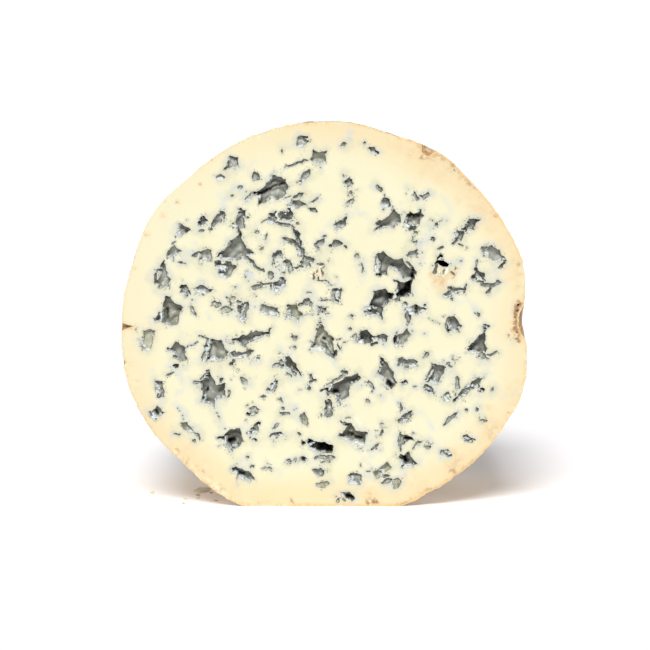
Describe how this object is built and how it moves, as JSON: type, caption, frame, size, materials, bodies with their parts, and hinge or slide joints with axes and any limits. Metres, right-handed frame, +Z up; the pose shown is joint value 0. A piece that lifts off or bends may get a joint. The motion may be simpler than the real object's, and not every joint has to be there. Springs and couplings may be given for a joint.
{
  "type": "cut round of blue cheese",
  "caption": "Half of a tall round blue cheese, cut straight across, standing on its rind side with the marbled cut face upright.",
  "frame": {"origin": "on the surface the cheese rests on, under the middle of its box", "axes": "+Z up; -Y is the outward normal of the cut face and +Y points to the rind end, along the axis of the round; +X is to the right as the cut face is looked at"},
  "size_m": [0.1316, 0.0854, 0.1248],
  "materials": {
    "blue_cheese": "cream paste with a soft moist sheen, yellower towards the rim; grey-green and blue mould on the walls of the pockets; dry beige rind with brown and grey bloom"
  },
  "bodies": {
    "root": {"cheese": "blue_cheese"}
  },
  "joints": []
}
